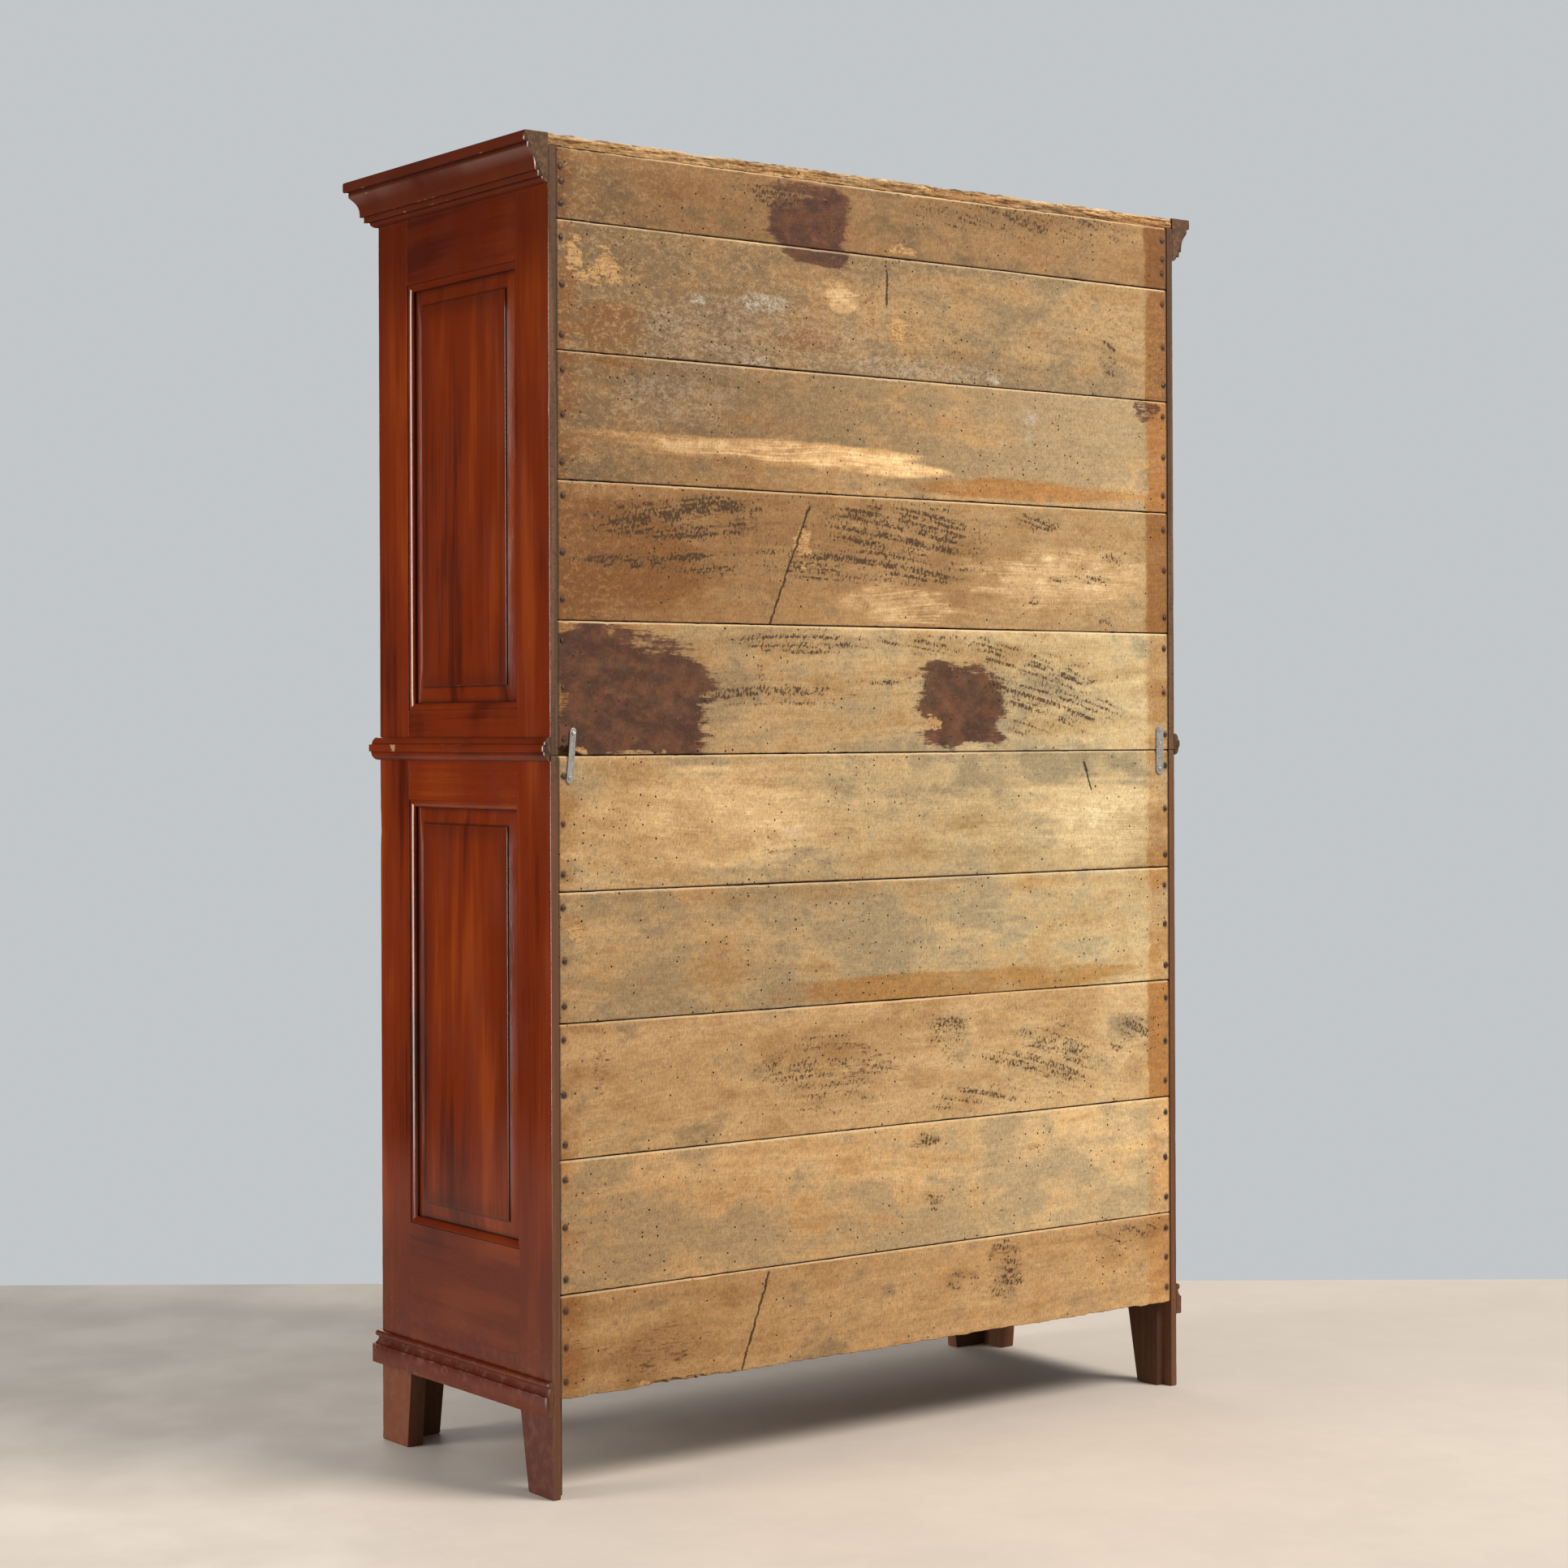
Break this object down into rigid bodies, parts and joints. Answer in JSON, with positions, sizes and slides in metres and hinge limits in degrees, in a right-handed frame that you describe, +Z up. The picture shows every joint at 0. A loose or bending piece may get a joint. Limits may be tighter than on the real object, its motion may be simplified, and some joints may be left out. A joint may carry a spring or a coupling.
{
  "type": "wardrobe",
  "caption": "Tall wardrobe in two stacked bodies with panelled doors and sides, moulded cornice, waist and plinth, tapered feet and a back of wide nailed boards.",
  "frame": {"origin": "middle of the outer box, on the floor", "axes": "+X to the right seen from the front, +Y from the front to the back, +Z up"},
  "size_m": [1.65, 0.663, 2.445],
  "materials": {
    "polished_wood": "old shellac polish",
    "raw_board": "unfinished, aged",
    "inner_board": "unfinished, planed",
    "old_iron": "forged, rusted brown",
    "zinc_steel": "zinc plated",
    "old_brass": "tarnished"
  },
  "bodies": {
    "carcass": {"back_board_01": "raw_board", "back_board_02": "raw_board", "back_board_03": "raw_board", "back_board_04": "raw_board", "back_board_05": "raw_board", "back_board_06": "raw_board", "back_board_07": "raw_board", "back_board_08": "raw_board", "back_board_09": "raw_board", "back_board_10": "raw_board", "back_nails": "old_iron", "cornice_front": "polished_wood", "cornice_left": "polished_wood", "cornice_right": "polished_wood", "front_frame_lower": "polished_wood", "front_frame_upper": "polished_wood", "hinge_leaves_carcass": "old_iron", "hinge_pins": "old_iron", "lower_floor": "inner_board", "lower_top": "inner_board", "mending_plates": "zinc_steel", "plate_screws": "zinc_steel", "plinth_moulding": "polished_wood", "roof_board": "raw_board", "shelf_cleats": "inner_board", "shelves": "inner_board", "side_frame_lower_left": "polished_wood", "side_frame_lower_right": "polished_wood", "side_frame_upper_left": "polished_wood", "side_frame_upper_right": "polished_wood", "side_panel_lower_left": "polished_wood", "side_panel_lower_right": "polished_wood", "side_panel_upper_left": "polished_wood", "side_panel_upper_right": "polished_wood", "upper_floor": "inner_board", "waist_moulding": "polished_wood"},
    "door_lower_right": {"door_frame_lower_right": "polished_wood", "door_panel_lower_right": "polished_wood", "hinge_leaves_lower_right": "old_iron", "lock_case_lower": "old_iron", "escutcheon_lower": "old_brass"},
    "door_lower_left": {"door_frame_lower_left": "polished_wood", "door_panel_lower_left": "polished_wood", "hinge_leaves_lower_left": "old_iron", "slide_bolt_plate_lower": "old_iron"},
    "key_lower": {"key_lower": "old_iron"},
    "lock_bolt_lower": {"lock_bolt_lower": "old_iron"},
    "slide_bolt_lower": {"slide_bolt_lower": "old_iron"},
    "door_upper_right": {"door_frame_upper_right": "polished_wood", "door_panel_upper_right": "polished_wood", "hinge_leaves_upper_right": "old_iron", "lock_case_upper": "old_iron", "escutcheon_upper": "old_brass"},
    "door_upper_left": {"door_frame_upper_left": "polished_wood", "door_panel_upper_left": "polished_wood", "hinge_leaves_upper_left": "old_iron", "slide_bolt_plate_upper": "old_iron"},
    "key_upper": {"key_upper": "old_iron"},
    "lock_bolt_upper": {"lock_bolt_upper": "old_iron"},
    "slide_bolt_upper": {"slide_bolt_upper": "old_iron"}
  },
  "joints": [
    {"name": "door_lower_right_hinge", "type": "hinge", "parent": "carcass", "child": "door_lower_right", "pos_m": [0.649, -0.2878, 0.8025], "axis": [0, 0, 1], "range_deg": [0, 165]},
    {"name": "door_lower_left_hinge", "type": "hinge", "parent": "carcass", "child": "door_lower_left", "pos_m": [-0.649, -0.2878, 0.8025], "axis": [0, 0, -1], "range_deg": [0, 165]},
    {"name": "key_lower_turn", "type": "hinge", "parent": "door_lower_right", "child": "key_lower", "pos_m": [0.0435, -0.2815, 0.7825], "axis": [0, -1, 0], "range_deg": [0, 100]},
    {"name": "lock_bolt_lower_slide", "type": "slide", "parent": "door_lower_right", "child": "lock_bolt_lower", "axis": [-1, 0, 0], "range_m": [0, 0.018]},
    {"name": "slide_bolt_lower_slide", "type": "slide", "parent": "door_lower_left", "child": "slide_bolt_lower", "axis": [0, 0, 1], "range_m": [0, 0.022]},
    {"name": "door_upper_right_hinge", "type": "hinge", "parent": "carcass", "child": "door_upper_right", "pos_m": [0.649, -0.2878, 1.8375], "axis": [0, 0, 1], "range_deg": [0, 165]},
    {"name": "door_upper_left_hinge", "type": "hinge", "parent": "carcass", "child": "door_upper_left", "pos_m": [-0.649, -0.2878, 1.8375], "axis": [0, 0, -1], "range_deg": [0, 165]},
    {"name": "key_upper_turn", "type": "hinge", "parent": "door_upper_right", "child": "key_upper", "pos_m": [0.0435, -0.2815, 1.8175], "axis": [0, -1, 0], "range_deg": [0, 100]},
    {"name": "lock_bolt_upper_slide", "type": "slide", "parent": "door_upper_right", "child": "lock_bolt_upper", "axis": [-1, 0, 0], "range_m": [0, 0.018]},
    {"name": "slide_bolt_upper_slide", "type": "slide", "parent": "door_upper_left", "child": "slide_bolt_upper", "axis": [0, 0, 1], "range_m": [0, 0.022]}
  ],
  "couplings": [
    {"joint": "key_lower_turn", "follows": "lock_bolt_lower_slide", "rad_per_m": 96.96},
    {"joint": "key_upper_turn", "follows": "lock_bolt_upper_slide", "rad_per_m": 96.96}
  ]
}
